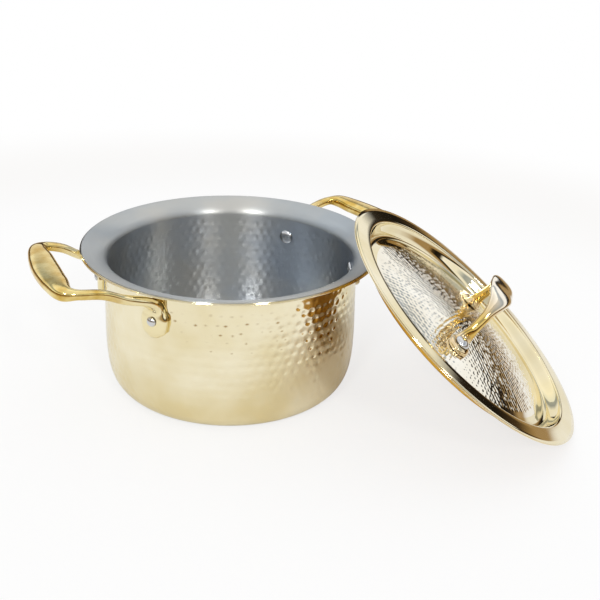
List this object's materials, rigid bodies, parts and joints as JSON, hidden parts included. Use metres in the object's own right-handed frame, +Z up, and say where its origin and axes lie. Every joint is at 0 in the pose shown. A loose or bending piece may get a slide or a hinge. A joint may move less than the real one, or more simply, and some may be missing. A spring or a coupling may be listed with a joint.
{
  "type": "casserole pot",
  "caption": "Low round hammered metal cooking pot with a flared rim and riveted loop handles, with its flanged lid and lid handle leaning against its side.",
  "frame": {"origin": "centre of the pot's flat base, on the ground", "axes": "+Z up along the pot's axis, X through the two side handles with the left one at -X, Y across; the lid leans at +X -Y"},
  "size_m": [0.4019, 0.3701, 0.1506],
  "materials": {
    "hammered_brass": "hammered by hand and polished",
    "lid_brass": "spun, hammered in the middle and polished",
    "cast_brass": "cast, polished",
    "grey_lining": "satin, lightly hammered inside and smooth on the rim",
    "rivet_metal": "bright, domed heads"
  },
  "bodies": {
    "pot": {"pot_shell": "hammered_brass", "pot_lining": "grey_lining", "side_handle_left": "cast_brass", "side_handle_right": "cast_brass", "side_rivet_left_1": "rivet_metal", "side_rivet_left_2": "rivet_metal", "side_rivet_right_1": "rivet_metal", "side_rivet_right_2": "rivet_metal"},
    "lid": {"lid_shell": "lid_brass", "lid_handle": "cast_brass", "lid_rivet_1": "rivet_metal", "lid_rivet_2": "rivet_metal"}
  },
  "joints": [
    {"name": "lid_lift", "type": "slide", "parent": "pot", "child": "lid", "axis": [0, 0, 1], "range_m": [0, 0.16]}
  ]
}
